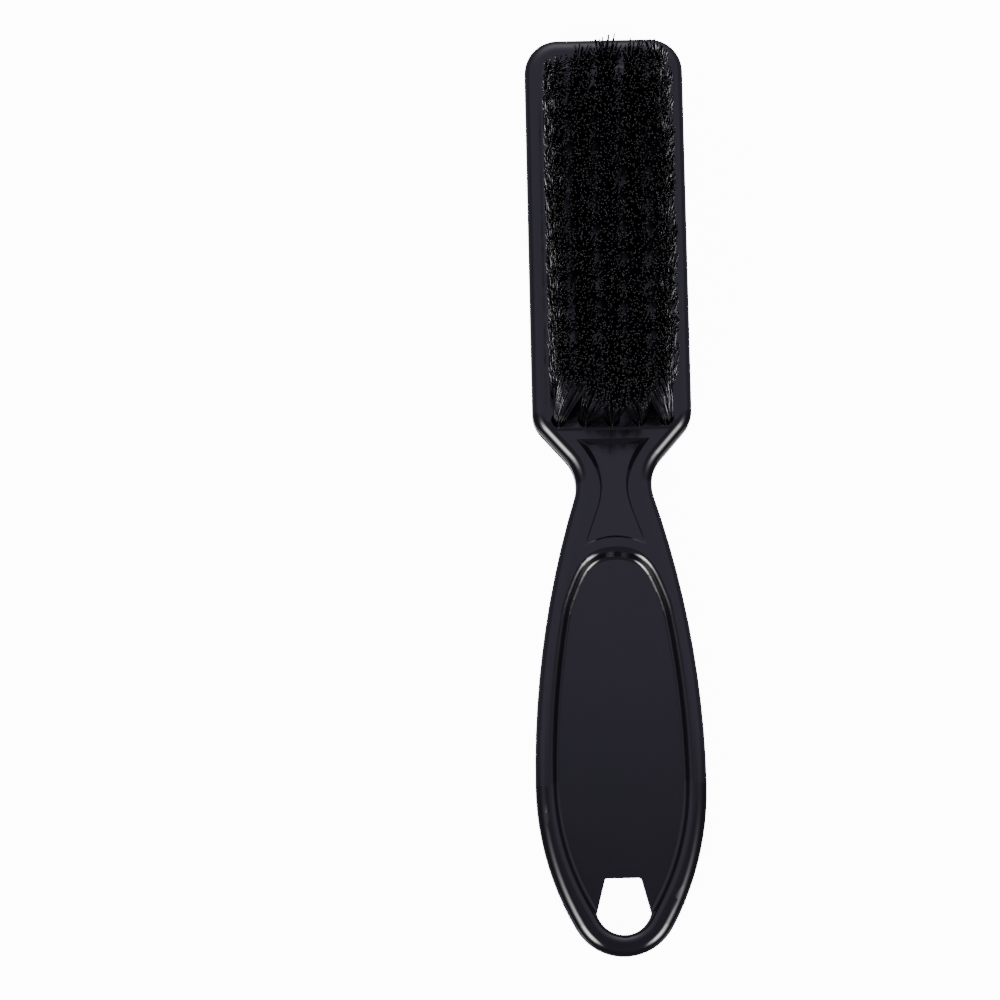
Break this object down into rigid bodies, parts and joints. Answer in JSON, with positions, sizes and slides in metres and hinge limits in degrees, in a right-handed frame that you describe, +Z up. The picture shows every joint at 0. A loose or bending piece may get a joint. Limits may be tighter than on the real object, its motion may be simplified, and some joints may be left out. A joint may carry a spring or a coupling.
{
  "type": "fade brush",
  "caption": "Flat barber's brush: waisted moulded handle with a recessed oval panel and hanging hole, and a rectangular field of stapled nylon tufts.",
  "frame": {"origin": "under the middle of the brush, on the plane that its flat back rests on", "axes": "+Z up, the way the bristles point; +Y along the brush from the butt of the handle to the head; +X across it"},
  "size_m": [0.0322, 0.1753, 0.0301],
  "materials": {
    "handle_plastic": "gloss black moulded plastic",
    "bristle_nylon": "glossy black nylon filament",
    "anchor_steel": "bright flat wire"
  },
  "bodies": {
    "root": {"handle_body": "handle_plastic", "tuft_row_01": "bristle_nylon", "tuft_row_02": "bristle_nylon", "tuft_row_03": "bristle_nylon", "tuft_row_04": "bristle_nylon", "tuft_row_05": "bristle_nylon", "tuft_row_06": "bristle_nylon", "tuft_row_07": "bristle_nylon", "tuft_row_08": "bristle_nylon", "tuft_row_09": "bristle_nylon", "tuft_row_10": "bristle_nylon", "tuft_row_11": "bristle_nylon", "tuft_row_12": "bristle_nylon", "tuft_row_13": "bristle_nylon", "tuft_row_14": "bristle_nylon", "anchor_row_01": "anchor_steel", "anchor_row_02": "anchor_steel", "anchor_row_03": "anchor_steel", "anchor_row_04": "anchor_steel", "anchor_row_05": "anchor_steel", "anchor_row_06": "anchor_steel", "anchor_row_07": "anchor_steel", "anchor_row_08": "anchor_steel", "anchor_row_09": "anchor_steel", "anchor_row_10": "anchor_steel", "anchor_row_11": "anchor_steel", "anchor_row_12": "anchor_steel", "anchor_row_13": "anchor_steel", "anchor_row_14": "anchor_steel"}
  },
  "joints": []
}
